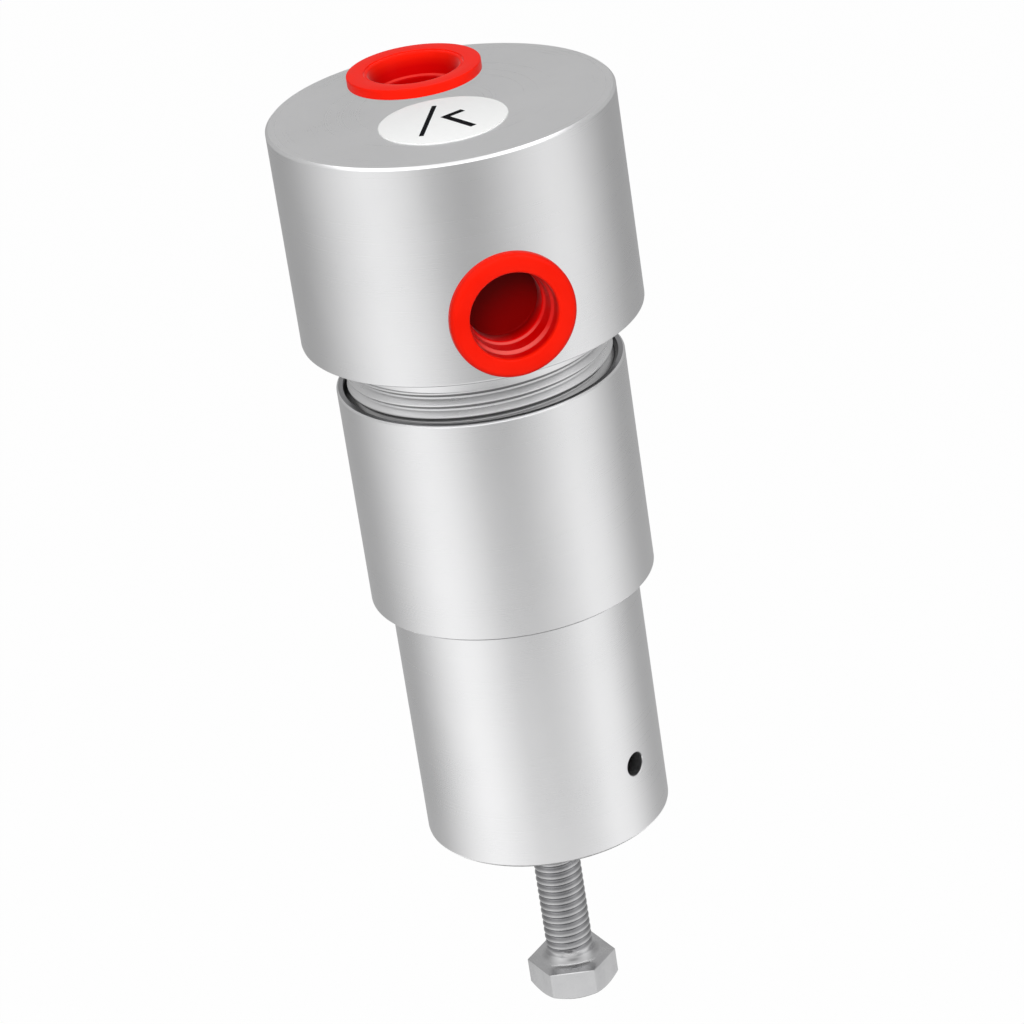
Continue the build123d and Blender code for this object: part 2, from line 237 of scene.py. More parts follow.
def turnedMetal(name, look, shadePainter=None):
    material, tree, shader = newFinish(name, Metallic=1.0)
    place = objectPlace(tree)
    reach, height = reachFromAxis(tree, place)
    # one noise along height plus radius runs in rings on the sides and in circles on the faces
    along = sumNode(tree, "ADD", reach, height)
    lines = noise(tree, along, look["cutterLines"], 3.0, 0.7, noise_dimensions="1D")
    clouds = noise(tree, place, look["cloudSize"], 4.0)
    tone = tones(tree, clouds, [(0.3, look["dullColour"]), (0.7, look["colour"])])
    # painted shade, where a finish is given one
    if shadePainter:
        tone = shadePainter(tree, reach, height, tone, look)
    if shadePainter is paintedThreadShade:
        onThread = sumNode(tree, "LESS_THAN", height, look["threadTop"] * mm)
        metallic = spread(tree, onThread, 1.0, look["threadMetallic"], 0.0, 1.0)
        tree.links.new(metallic, shader.inputs["Metallic"])
    tree.links.new(tone, shader.inputs["Base Color"])
    both = sumNode(tree, "MULTIPLY", lines, clouds)
    tree.links.new(spread(tree, both, *look["roughness"], 0.1, 0.45), shader.inputs["Roughness"])
    emboss(tree, shader, lines, look["lineStrength"], look["lineDepth"])
    return material


# bright zinc plating over a rolled thread
zinc = {
    "colour": (0.68, 0.68, 0.685),
    "dullColour": (0.6, 0.6, 0.61),
    # painted shade in the thread's roots and under its turns
    "rootColour": (0.36, 0.36, 0.37),
    "rootReach": (3.66, 3.96),  # mm
    "threadTop": 100.0,        # mm, above the screw's tip, so that all of it counts as thread
    "roughness": (0.2, 0.28),
    "blotches": 260,           # per metre
    "grain": 2600,             # per metre
    "grainDepth": 0.002,       # mm
    "grainStrength": 0.5,
}


def platedSteel(name, look, shadePainter=None):
    material, tree, shader = newFinish(name, Metallic=1.0)
    place = objectPlace(tree)
    blotches = noise(tree, place, look["blotches"], 5.0, 0.65)
    tone = tones(tree, blotches, [(0.3, look["dullColour"]), (0.65, look["colour"])])
    if shadePainter:
        tone = shadePainter(tree, *reachFromAxis(tree, place), tone, look)
    tree.links.new(tone, shader.inputs["Base Color"])
    tree.links.new(spread(tree, blotches, *look["roughness"]), shader.inputs["Roughness"])
    grain = noise(tree, place, look["grain"], 2.0)
    emboss(tree, shader, grain, look["grainStrength"], look["grainDepth"])
    return material


# the two plugs in mm: depths are from the mouth, and a painted shade has where it starts and where it is
# full
topPlug = {
    "edge": 0.2,
    "mouthRadius": 8.05,
    "mouthRound": 0.04,
    "cupRadius": 6.8,
    "groove": (0.22, 0.35),    # width and depth of the groove between flange and fillet
    "filletDepth": 0.12,
    "filletFall": 0.05,
    "filletRadius": 7.4,       # where the fillet has turned into the wall
    "steps": ((3.8, 0.14),),   # each step's depth, and how far its painted highlight reaches from there
    "stepWidth": 0.5,
    "stepRounds": (0.12, 0.1),     # of a step's outer corner and of its inner one
    # a painted highlight on the step's edge
    "stepHighlightColour": (0.86, 0.045, 0.034),
    # painted shade in the cup and on its floor
    "cupShade": (0.15, 2.4),
    "floorShade": (2.8, 9.9),
    "floorDepth": 9.4,
}
sidePlug = {
    "edge": 0.9,
    "mouthRound": 0.35,
    "cupRadius": 7.0,
    "steps": ((2.7, 0.26), (5.7, 0.16)),
    "stepWidth": 0.5,
    "stepRounds": (0.2, 0.12),
    # a painted highlight on the steps' edges
    "stepHighlightColour": (0.72, 0.10, 0.085),
    "stepHighlightHeights": (3.6, 6.6),   # below the middle, where the painted highlight on the steps starts and where it is full
    # painted shade in the cup and on its floor
    "cupShade": (0.4, 1.2),
    "floorShade": (5.9, 8.4),
    "floorDepth": 8.8,
}

# low-density polythene, a soft waxy sheen and faint flow marks
polythene = {
    "colour": (0.95, 0.012, 0.002),
    "deepColour": (0.90, 0.009, 0.001),
    # painted shade deeper in the cup and on its floor
    "cupShadeColour": (0.62, 0.0, 0.0),
    "cupReach": (7.38, 7.2),   # mm from the plug's axis, where the cup's painted shade and highlights begin and where they are full
    "floorShadeColour": (0.2, 0.0, 0.0),
    "floorMargin": 0.3,        # mm, past the cup's floor
    "stepHighlightFade": 0.15,          # what is left of a step's painted highlight away from the light
    "roughness": (0.30, 0.42),
    "sheenLevel": 0.06,
    "flowMarks": 130,          # per metre
    "skinGrain": 5000,         # per metre
    "skinDepth": 0.003,        # mm
    "skinStrength": 0.3,
}


def mouldedPlastic(name, look, plug, mouth, inwards):
    # mouth is the middle of the plug's face, and inwards the way into its cup
    material, tree, shader = newFinish(name)
    shader.inputs["Specular IOR Level"].default_value = look["sheenLevel"]
    place = objectPlace(tree)
    flow = noise(tree, place, look["flowMarks"], 3.0, 0.5)
    tone = tones(tree, flow, [(0.25, look["deepColour"]), (0.6, look["colour"])])
    offset = vectorNode(tree, "SUBTRACT", "Vector", place, mouth * mm)
    depth = vectorNode(tree, "DOT_PRODUCT", "Value", offset, inwards)
    reach = vectorNode(tree, "LENGTH", "Value", vectorNode(tree, "CROSS_PRODUCT", "Vector", offset, inwards))
    # only the inside of the cup takes the painted shade and highlights that follow, not the skirt's outside
    # nor its far end
    within = spread(tree, reach, 0.0, 1.0, *[radius * mm for radius in look["cupReach"]])
    shallow = sumNode(tree, "LESS_THAN", depth, (plug["floorDepth"] + look["floorMargin"]) * mm)
    inside = sumNode(tree, "MULTIPLY", within, shallow)

    def shaded(before, start, full, colour):
        share = spread(tree, depth, 0.0, 1.0, start * mm, full * mm)
        return mixedTone(tree, sumNode(tree, "MULTIPLY", share, inside), before, colour)

    tone = shaded(tone, *plug["cupShade"], look["cupShadeColour"])
    # each step takes a painted highlight, which on the side plug fades away from the light
    for step, stepReach in plug["steps"]:
        share = sumNode(tree, "COMPARE", depth, step * mm, stepReach * mm)
        if "stepHighlightHeights" in plug:
            start, full = plug["stepHighlightHeights"]
            height = addNode(tree, "ShaderNodeSeparateXYZ", {"Vector": offset}).outputs["Z"]
            lit = spread(tree, height, look["stepHighlightFade"], 1.0, -start * mm, -full * mm)
            share = sumNode(tree, "MULTIPLY", share, lit)
        tone = mixedTone(tree, sumNode(tree, "MULTIPLY", share, inside), tone, plug["stepHighlightColour"])
    tone = shaded(tone, *plug["floorShade"], look["floorShadeColour"])
    tree.links.new(tone, shader.inputs["Base Color"])
    tree.links.new(spread(tree, flow, *look["roughness"]), shader.inputs["Roughness"])
    skin = noise(tree, place, look["skinGrain"], 2.0)
    emboss(tree, shader, skin, look["skinStrength"], look["skinDepth"])
    return material


def grainedFinish(name, colour, dullColour, roughness, metallic=0.0, grain=700.0, depth=0.005):
    material, tree, shader = newFinish(name, Metallic=metallic)
    unevenness, strength = 0.06, 0.5
    speckle = noise(tree, objectPlace(tree), grain, 4.0)
    tone = tones(tree, speckle, [(0.3, dullColour), (0.7, colour)])
    sheen = spread(tree, speckle, roughness - unevenness, roughness + unevenness)
    tree.links.new(tone, shader.inputs["Base Color"])
    tree.links.new(sheen, shader.inputs["Roughness"])
    emboss(tree, shader, speckle, strength, depth)
    return material


topMouth = Vector((0, topPort.y, topPlugHigh.z))
sideMouth = Vector((0, sidePlugLow.y, sidePort.z))
finishes = {
    "turned_aluminium": turnedMetal("turnedAluminium", aluminium, paintedRimShade),
    "zinc_plated_steel": platedSteel("zincPlatedSteel", zinc),
    "red_polythene": mouldedPlastic("redPolythene", polythene, topPlug, topMouth, (0, 0, -1)),
    "label_film": grainedFinish(
        "labelFilm", (0.90, 0.905, 0.90), (0.88, 0.885, 0.88), 0.42, grain=1500.0, depth=0.002),
    "spring_steel": grainedFinish("springSteel", (0.36, 0.36, 0.38), (0.26, 0.26, 0.28), 0.42, 1.0),
    "polished_ball_steel": grainedFinish(
        "polishedBallSteel", (0.8, 0.8, 0.82), (0.76, 0.76, 0.78), 0.14, 1.0, depth=0.001),
    "brass": grainedFinish("machinedBrass", (0.78, 0.58, 0.27), (0.66, 0.46, 0.2), 0.3, 1.0),
    "sintered_bronze": grainedFinish(
        "sinteredBronze", (0.5, 0.36, 0.2), (0.28, 0.18, 0.09), 0.55, 0.9, 2600.0, 0.15),
    "black_rubber": grainedFinish(
        "blackRubber", (0.05, 0.05, 0.05), (0.03, 0.03, 0.03), 0.6, 0.0, 1800.0, 0.02),
    "white_nylon": grainedFinish("whiteNylon", (0.85, 0.84, 0.8), (0.8, 0.79, 0.75), 0.45),
}
threadedAluminium = turnedMetal("threadedAluminium", aluminium, paintedThreadShade)
threadedSteel = platedSteel("threadedSteel", zinc, paintedThreadShade)
sidePolythene = mouldedPlastic("sidePolythene", polythene, sidePlug, sideMouth, (0, 1, 0))
labelInk = grainedFinish(
    "labelInk", (0.016, 0.016, 0.018), (0.010, 0.010, 0.011), 0.6, grain=2500.0, depth=0.001)
labelInk.node_tree.nodes["Principled BSDF"].inputs["Specular IOR Level"].default_value = 0.0
for part in frame["record"]["subparts"]:
    mesh = frame["nodes"][part["node"]].data
    mesh.materials.clear()
    mesh.materials.append(finishes[part["material_slot"]])
print("finishes made")


# lathe work
def smoothByAngle(mesh, sharpAngle=28.0):
    mesh.shade_smooth()
    mesh.set_sharp_from_angle(angle=radians(sharpAngle))


def bandFaces(here, there, count):
    # faces between two rings of points, which start at these places in the list
    return [(here + k, there + k, there + after, here + after)
            for k, after in enumerate([*range(1, count), 0])]


def meshPiece(name, points, faces, material):
    welded, collapsed = 2e-7, 1e-7    # metres
    mesh = bpy.data.meshes.new(name)
    mesh.from_pydata([Vector(p) * mm for p in points], [], faces)
    shape = bmesh.new()
    shape.from_mesh(mesh)
    bmesh.ops.remove_doubles(shape, verts=shape.verts, dist=welded)
    bmesh.ops.dissolve_degenerate(shape, edges=shape.edges, dist=collapsed)
    bmesh.ops.recalc_face_normals(shape, faces=shape.faces)
    shape.to_mesh(mesh)
    shape.free()
    mesh.materials.append(material)
    smoothByAngle(mesh)
    piece = bpy.data.objects.new(name, mesh)
    bpy.context.scene.collection.objects.link(piece)
    return piece


def turnedPiece(name, outline, columns, material, firstAngle=0.0):
    # outline is a closed section of (radius, height) points, or gives one of the same length at each angle
    points, faces = [], []
    for column in range(columns + 1):
        angle = firstAngle + 2 * pi * column / columns
        section = outline(angle) if callable(outline) else outline
        points += [(radius * cos(angle), radius * sin(angle), height) for radius, height in section]
    count = len(section)
    for column in range(columns):
        faces += bandFaces(column * count, (column + 1) * count, count)
    return meshPiece(name, points, faces, material)


def rounded(corners, steps=4):
    # a section's (radius, height, rounding) corners, each rounded off by an arc
    path = []
    for k, (r, z, rounding) in enumerate(corners):
        if not rounding:
            path.append((r, z))
            continue
        here = Vector((r, z))
        before = (Vector(corners[k - 1][:2]) - here).normalized()
        after = (Vector(corners[(k + 1) % len(corners)][:2]) - here).normalized()
        half = before.angle(after) / 2
        middle = here + (before + after).normalized() * rounding / sin(half)
        start = here + before * rounding / tan(half) - middle
        end = here + after * rounding / tan(half) - middle
        sweep = start.angle_signed(end)
        for step in range(steps + 1):
            spoke = start.copy()
            spoke.rotate(Matrix.Rotation(-sweep * step / steps, 2))
            path.append(tuple(middle + spoke))
    return path


def between(stops, place):
    # reads a level off (place, level) stops
    if place <= stops[0][0]:
        return stops[0][1]
    for (low, lowLevel), (high, highLevel) in zip(stops, stops[1:]):
        if place <= high:
            return lowLevel + (highLevel - lowLevel) * (place - low) / (high - low)
    return stops[-1][1]


def cutTooth(crest, pitch, crestHeight, ease, lean=60, rootShare=0.1443):
    # one pitch of a thread as (height, radius) pairs: a flat crest an eighth of the pitch wide, with
    # eased edges, then leaning flanks and a round root
    half, rootRound, tilt = pitch / 16, rootShare * pitch, radians(lean)
    depth = (pitch / 2 - half - rootRound * sin(tilt)) * tan(tilt) + rootRound * (1 - cos(tilt))
    bottom, middle = crest - depth, crestHeight + pitch / 2
    edge, drop = half - ease, half + ease / tan(tilt)
    land = [(crestHeight - drop, crest - ease), (crestHeight - edge, crest),
            (crestHeight + edge, crest), (crestHeight + drop, crest - ease)]
    turns = [tilt * step / 3 for step in range(-3, 4)]
    return land + [(middle + rootRound * sin(t), bottom + rootRound * (1 - cos(t))) for t in turns]


def helixSection(angle, low, high, pitch, tooth):
    # a right-hand thread between two heights: tooth is (height, radius) pairs over one pitch
    lift = angle / (2 * pi) * pitch
    first = int(low // pitch) - 2
    path = [((first + turn) * pitch + height + lift, radius)
            for turn in range(ceil((high - low) / pitch) + 4) for height, radius in tooth]
    section = []
    for height, radius in path:
        kept = min(max(low, height), high)
        section.append((radius if kept == height else between(path, kept), kept))
    return section


def placed(piece, move, turn=None):
    piece.data.transform(Matrix.Translation(Vector(move) * mm) @ (turn or Matrix.Identity(4)))
    return piece


overshoot = 1.0    # mm, by which a cutter goes past what it cuts


def cutAway(piece, *cutters):
    for cutter in cutters:
        cut = piece.modifiers.new("cut", "BOOLEAN")
        cut.operation, cut.solver, cut.object = "DIFFERENCE", "EXACT", cutter
        shaped = bpy.data.meshes.new_from_object(piece.evaluated_get(bpy.context.evaluated_depsgraph_get()))
        piece.modifiers.clear()
        piece.data = shaped
        bpy.data.objects.remove(cutter)
    smoothByAngle(piece.data)


def trueTurned(piece, radii):
    # gives the flat faces and the turned sides, at these radii in mm, the normals that a lathe leaves
    flat, upright, square, near = 0.999, 0.02, 0.98, 2e-5    # the last one in metres
    mesh = piece.data
    normals = [corner.vector.copy() for corner in mesh.corner_normals]
    for polygon in mesh.polygons:
        facing = polygon.normal
        for corner in polygon.loop_indices:
            x, y, z = mesh.vertices[mesh.loops[corner].vertex_index].co
            reach = hypot(x, y)
            if abs(facing.z) > flat:
                normals[corner] = facing.copy()
            elif abs(facing.z) < upright and any(abs(reach - radius * mm) < near for radius in radii):
                outwards = Vector((x, y, 0)) / reach
                if abs(facing.dot(outwards)) > square:
                    normals[corner] = outwards * (1 if facing.dot(outwards) > 0 else -1)
    mesh.normals_split_custom_set(normals)


# head and neck
head = {
    "height": 36.0,
    "edge": 0.42,              # flat chamfer round the top
    "lowEdge": 0.4,
    "neckRadius": 21.45,
    "neckLeadIn": 1.0,
    "neckBevel": 1.6,
    "plainFrom": 42.42,        # the thread ends here
    "threadPitch": 2.0,
    "flankLean": 52.0,
    "crestHeight": 0.86,       # sets where the thread's turns come round
    "crestEase": 0.03,
    "roomRadius": 16.0,
    "roomDepth": 7.0,
    "passageRadius": 2.5,
    "passageColumns": 48,
    "inletOffset": 12.0,       # the inlet passage, from the axis
    "columns": 288,
}
port = {
    "boreRadius": 7.475,
    "threadRadius": 8.33,
    "pitch": 1.337,
    "land": 0.13,              # flat at the bore, and the same at the bottom of the thread
    "flank": 0.54,
    "runOut": 2.5,             # plain bore at the bottom
    "mouthRadius": 8.6,
    "depth": 14.0,
    "columns": 96,
}


def headSection(angle):
    headBottom = headTop - head["height"]
    crest, pitch = head["neckRadius"], head["threadPitch"]
    edge, plain = head["edge"], head["plainFrom"]
    tooth = cutTooth(crest, pitch, head["crestHeight"], head["crestEase"], head["flankLean"])
    room = neckEnd + head["roomDepth"]
    outer = rounded([
        (0, headTop, 0), (headRadius - edge, headTop, 0.05), (headRadius, headTop - edge, 0.05),
        (headRadius, headBottom, head["lowEdge"]), (crest, headBottom, 0.3), (crest, plain, 0),
    ], 3)
    thread = helixSection(angle, neckEnd + head["neckLeadIn"], plain, pitch, tooth)
    inside = [(crest - head["neckBevel"], neckEnd), (head["roomRadius"], neckEnd),
              (head["roomRadius"], room), (0, room)]
    return outer + thread[::-1] + inside


def portCutter(name):
    bore, mouthDepth = port["boreRadius"], port["mouthRadius"] - port["boreRadius"]
    rise, deep = port["land"] + port["flank"], port["threadRadius"]
    tooth = [(0.0, bore), (port["land"], bore), (rise, deep), (rise + port["land"], deep)]

    def section(angle):
        threads = helixSection(angle, port["runOut"] - port["depth"], -mouthDepth, port["pitch"], tooth)
        return [(0, -port["depth"]), (bore, -port["depth"])] + threads + [
            (bore, -mouthDepth), (port["mouthRadius"], 0),
            (port["mouthRadius"] + overshoot, overshoot), (0, overshoot)]
    return turnedPiece(name, section, port["columns"], None)


def passageCutter(name, low, high):
    radius = head["passageRadius"]
    section = [(0, low), (radius, low), (radius, high), (0, high)]
    return turnedPiece(name, section, head["passageColumns"], None)


def makeHead():
    body = turnedPiece("headAndNeck", headSection, head["columns"], threadedAluminium)
    insidePort = overshoot - port["depth"]
    outlet = passageCutter("outletPassage", -headRadius, insidePort)
    inlet = passageCutter("inletPassage", neckEnd + head["roomDepth"] - overshoot, headTop + insidePort)
    cutAway(
        body,
        placed(portCutter("inletCutter"), topPort),
        placed(portCutter("outletCutter"), sidePort, towardsSidePort),
        placed(outlet, sidePort, towardsSidePort),
        placed(inlet, (0, head["inletOffset"], 0)),
    )
    trueTurned(body, (headRadius,))
    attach(body, "housing")
    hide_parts("valve_body")


makeHead()
print("head and neck turned")

# spring housing
housing = {
    "boreRadius": 21.5,
    "rimBevel": 0.7,
    "edge": 0.3,
    "barrelRadius": 20.25,
    "barrelEdge": 0.4,
    "floor": 7.3,
    "roomRadius": 16.0,
    "ledge": 22.7,
    "screwHole": 4.05,
    "screwBevel": 0.6,
    "ventRadius": 2.0,
    "ventBevel": 0.12,
    "ventHeight": 12.5,        # from the barrel's end
    "ventAzimuth": 36.0,
    "ventFrom": 10.0,          # from the axis, inside the spring room
    "ventColumns": 64,
    "columns": 288,
}


def housingSection():
    bore, barrel, hole = housing["boreRadius"], housing["barrelRadius"], housing["screwHole"]
    floorHeight, edge = barrelEnd + housing["floor"], housing["edge"]
    room, ledge, bevel = housing["roomRadius"], housing["ledge"], housing["rimBevel"]
    return rounded([
        (hole, floorHeight, 0), (room, floorHeight, 0.5), (room, ledge, 0), (bore, ledge, 0),
        (bore, rimHeight - bevel, 0), (bore + bevel, rimHeight, 0.05),
        (collarRadius - edge, rimHeight, 0.05), (collarRadius, rimHeight - edge, 0.05),
        (collarRadius, edge, 0.05), (collarRadius - edge, 0, 0.05), (barrel, 0, 0.2),
        (barrel, barrelEnd, housing["barrelEdge"]), (hole + housing["screwBevel"], barrelEnd, 0.1),
        (hole, barrelEnd + housing["screwBevel"], 0),
    ], 3)


def makeHousing():
    shell = turnedPiece("springHousing", housingSection(), housing["columns"], finishes["turned_aluminium"])
    radius, bevel, wall = housing["ventRadius"], housing["ventBevel"], housing["barrelRadius"]

    def section(angle):
        # the barrel falls away to the sides of the vent, and the bevel follows it
        surface = sqrt(wall**2 - ((radius + bevel) * cos(angle)) ** 2)
        inner, outer = housing["ventFrom"], wall + overshoot
        return [(0, inner), (radius, inner), (radius, surface - bevel), (radius + bevel, surface),
                (radius + bevel, outer), (0, outer)]
    turn = Matrix.Rotation(radians(housing["ventAzimuth"]), 4, "Z") @ towardsSidePort
    cutter = turnedPiece("ventCutter", section, housing["ventColumns"], None)
    cutAway(shell, placed(cutter, (0, 0, barrelEnd + housing["ventHeight"]), turn))
    trueTurned(shell, (collarRadius, housing["barrelRadius"], housing["roomRadius"]))
    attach(shell, "housing")
    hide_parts("spring_housing")


makeHousing()
print("spring housing turned")

# adjusting screw
screw = {
    "radius": 3.96,
    "pitch": 1.25,
    "crestHeight": 0.13,
    "crestEase": 0.02,
    "flankLean": 45.0,
    "rootShare": 0.15,         # of the pitch
    "hexFlats": 13.0,
    "hexHeight": 5.3,
    "hexBevel": 0.8,
    "hexTurn": -15.7,
    "hexEdge": 0.12,
    "flare": 1.5,
    "flareSteps": 6,
    "flareBand": 0.1,          # a short straight stretch, which keeps the shading above it even
    "plainNeck": 2.1,
    "runOut": 0.5,             # of the first turn
    "tipBevel": 0.8,
    "dimple": 1.8,             # radius and depth of the hollow in the tip
    "columns": 144,
}


def screwSection(angle):
    end, tip = screwLow.z, screwHigh.z
    bearing = end + screw["hexHeight"]
    crest, pitch = screw["radius"], screw["pitch"]
    toFlat = (angle - radians(screw["hexTurn"])) % radians(60) - radians(30)
    hexReach = screw["hexFlats"] / 2 / cos(toFlat)
    corner = screw["hexFlats"] / sqrt(3)
    slope = sqrt(3)      # the chamfer lies 30 degrees off the end face
    facing = corner - slope * screw["hexBevel"]
    chamfer = max(0.0, (hexReach - facing) / slope)
    soft = screw["hexEdge"]
    hexagon = [(0, end), (facing - soft, end), (facing, end + soft / 4), (hexReach - soft, end + chamfer),
               (hexReach, end + chamfer + soft), (hexReach, bearing - soft), (hexReach - soft, bearing)]
    bends = [radians(90) * k / screw["flareSteps"] for k in range(screw["flareSteps"] + 1)]
    flare = [(crest + screw["flare"] * (1 - sin(t)), bearing + screw["flare"] * (1 - cos(t))) for t in bends]
    tooth = cutTooth(crest, pitch, screw["crestHeight"], screw["crestEase"], screw["flankLean"],
                     screw["rootShare"])
    threadLow = bearing + screw["plainNeck"]
    threads = helixSection(angle, threadLow, tip - screw["tipBevel"], pitch, tooth)

    def runOut(height):
        return min(1, max(0, height - threadLow) / screw["runOut"])

    # the first turn runs out into the plain neck
    threads = [(crest - (crest - radius) * runOut(height), height) for radius, height in threads]
    plain = [(crest, bearing + screw["flare"] + screw["flareBand"]), (crest, threadLow)]
    return hexagon + flare + plain + threads + [
        (crest - screw["tipBevel"], tip), (screw["dimple"], tip), (0, tip - screw["dimple"])]


def makeScrew():
    firstAngle = radians(screw["hexTurn"])
    piece = turnedPiece("adjustingScrew", screwSection, screw["columns"], threadedSteel, firstAngle)
    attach(piece, "adjuster")
    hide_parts("adjusting_screw")


makeScrew()
print("adjusting screw cut")

# range spring: wound in two parts, the top of the coil and the rest
rangeSpring = {
    "coilRadius": 10.75,       # of the wire's middle
    "wire": 3.5,
    "turns": 6.5,
    "seamHeight": 15.7,
    "seamGap": 0.0005,         # in turns
    "seamMargin": 0.05,        # mm, beyond the wire at the seam
    "sides": 12,
    "stepsPerTurn": 48,
}


def windCoil(name, low, high, firstTurn, lastTurn):
    # round wire, with whatever passes the two ends ground off flat
    reach, half = rangeSpring["coilRadius"], rangeSpring["wire"] / 2
    pitch = (high - low) / rangeSpring["turns"]
    lean, sides = atan2(pitch, 2 * pi * reach), rangeSpring["sides"]
    steps = round((lastTurn - firstTurn) * rangeSpring["stepsPerTurn"])
    points, faces = [], []
    for step in range(steps + 1):
        turn = firstTurn + (lastTurn - firstTurn) * step / steps
        angle = 2 * pi * turn
        outwards = Vector((cos(angle), sin(angle), 0))
        upwards = Vector((sin(angle) * sin(lean), -cos(angle) * sin(lean), cos(lean)))
        middle = outwards * reach + Vector((0, 0, low + pitch * turn))
        for side in range(sides):
            spoke = 2 * pi * side / sides
            x, y, z = middle + (outwards * cos(spoke) + upwards * sin(spoke)) * half
            points.append((x, y, min(high, max(low, z))))
    for step in range(steps):
        faces += bandFaces(step * sides, (step + 1) * sides, sides)
    faces += [tuple(range(sides)), tuple(range(steps * sides, (steps + 1) * sides))]
    return meshPiece(name, points, faces, finishes["spring_steel"])


def makeSpring():
    low, high = [corner.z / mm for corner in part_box("range_spring")]
    seam, half = rangeSpring["seamHeight"], rangeSpring["wire"] / 2 + rangeSpring["seamMargin"]
    seamTurn = rangeSpring["turns"] * (seam - low) / (high - low)
    coil = windCoil("rangeSpring", low, high, 0.0, seamTurn - rangeSpring["seamGap"])
    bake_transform(coil)
    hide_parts("range_spring")
    top = windCoil("rangeSpringTop", low, high, seamTurn, rangeSpring["turns"])
    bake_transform(top)


makeSpring()
print("range spring wound")

# diaphragm: the disc between the two plates moves with them, the roll and the rim stay clamped
diaphragm = {
    "rollRadius": 1.2,         # at the middle of the sheet
    "rollOffset": 1.5,         # of the roll's middle beyond the plate's edge
    "rimInset": 0.005,
    "hole": 3.03,
    "seamInset": 0.02,         # from where the roll leaves the sheet
    "seamGap": 0.04,
    "columns": 120,
}


def makeDiaphragm():
    plate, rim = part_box("spring_plate")[1] / mm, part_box("diaphragm")[1] / mm
    under, over, reach = plate.z, rim.z, rim.x - diaphragm["rimInset"]
    middle, half = (under + over) / 2, (over - under) / 2
    centre = plate.x + diaphragm["rollOffset"]
    outer, inner = diaphragm["rollRadius"] + half, diaphragm["rollRadius"] - half
    lift = asin(half / outer)
    seam = centre - outer * cos(lift) - diaphragm["seamInset"]

    def bend(radius, first, last, steps=16):
        turns = [first + (last - first) * k / steps for k in range(steps + 1)]
        return [(centre + radius * cos(t), middle - radius * sin(t)) for t in turns]

    rolled = [(seam, over), (centre - inner, over)] + bend(inner, pi, 0.0)
    rolled += [(centre + inner, over), (reach, over), (reach, under)]
    rolled += bend(outer, lift, pi - lift) + [(seam, under)]
    edge = seam - diaphragm["seamGap"]
    flat = [(diaphragm["hole"], under), (edge, under), (edge, over), (diaphragm["hole"], over)]
    roll = turnedPiece("diaphragmRoll", rolled, diaphragm["columns"], finishes["black_rubber"])
    disc = turnedPiece("diaphragmDisc", flat, diaphragm["columns"], finishes["black_rubber"])
    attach(roll, "housing")
    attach(disc, "diaphragm_set")
    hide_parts("diaphragm")


makeDiaphragm()
print("diaphragm cut")

# transit plugs
plugSkirt = {
    "radius": 7.4,
    "wall": 0.6,
    "leadIn": 1.2,
    "stepDrop": 0.25,          # the steps slope down by this much
    "floorRound": 0.3,
    "columns": 160,
}


def plugSection(plug, low, face, flange):
    # the skirt, then the flange with its mouth, then the stepped cup: heights are from the port's rim
    skirt = plugSkirt["radius"]
    corners = [
        (0, low, 0), (skirt - plugSkirt["wall"], low, 0.2), (skirt, low + plugSkirt["leadIn"], 0.3),
        (skirt, 0, 0), *flange,
    ]
    inner, (outerRound, innerRound) = plug["cupRadius"], plug["stepRounds"]
    for depth, _ in plug["steps"]:
        step, narrow = face - depth, inner - plug["stepWidth"]
        corners += [(inner, step, outerRound), (narrow, step - plugSkirt["stepDrop"], innerRound)]
        inner = narrow
    floorHeight = face - plug["floorDepth"]
    return rounded(corners + [(inner, floorHeight, plugSkirt["floorRound"]), (0, floorHeight, 0)])


def mouldPlug(name, section, place, turn, bodyName, nodeName, material):
    piece = turnedPiece(name, section, plugSkirt["columns"], material)
    placed(piece, place, turn)
    piece.visible_glossy = False          # keeps the red out of the satin metal round it
    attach(piece, bodyName)
    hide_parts(nodeName)


def makeTopPlug():
    low, face = topPlugLow.z - headTop, topPlugHigh.z - headTop
    reach = (topPlugHigh.x - topPlugLow.x) / 2
    mouth, filletHeight = topPlug["mouthRadius"], face - topPlug["filletDepth"]
    grooveWidth, grooveDepth = topPlug["groove"]
    section = plugSection(topPlug, low, face, [
        (reach, 0, 0.1), (reach, face, topPlug["edge"]), (mouth, face, topPlug["mouthRound"]),
        (mouth - grooveWidth / 2, face - grooveDepth, 0), (mouth - grooveWidth, filletHeight, 0.1),
        (topPlug["filletRadius"], filletHeight - topPlug["filletFall"], 0.4),
    ])
    mouldPlug("topPlug", section, topPort, None, "top_plug", "top_port_plug", finishes["red_polythene"])


def makeSidePlug():
    low, face = -(sidePlugHigh.y + headRadius), -(sidePlugLow.y + headRadius)
    reach = (sidePlugHigh.x - sidePlugLow.x) / 2
    section = plugSection(sidePlug, low, face, [
        (reach, 0, 0.25), (reach, face, sidePlug["edge"]),
        (sidePlug["cupRadius"], face, sidePlug["mouthRound"]),
    ])
    mouldPlug("sidePlug", section, sidePort, towardsSidePort, "side_plug", "side_port_plug", sidePolythene)


makeTopPlug()
makeSidePlug()
print("transit plugs moulded")

# round label, with a plain tick over a bar
label = {
    "edge": 0.06,
    "columns": 160,
    "ink": (-0.01, 0.02),      # from just under the film's face to just above it
    "inkTurn": -114.0,         # the way the marks read, in degrees from +X
    "bar": (13.2, 0.75, -2.75),   # length, width and place below the middle
    "tick": ((-4.0, 1.0), (-3.22, 1.78), (-1.2, -0.25), (3.41, 4.56), (4.2, 3.8), (-1.2, -1.8)),
    "tickLift": 1.2,
}


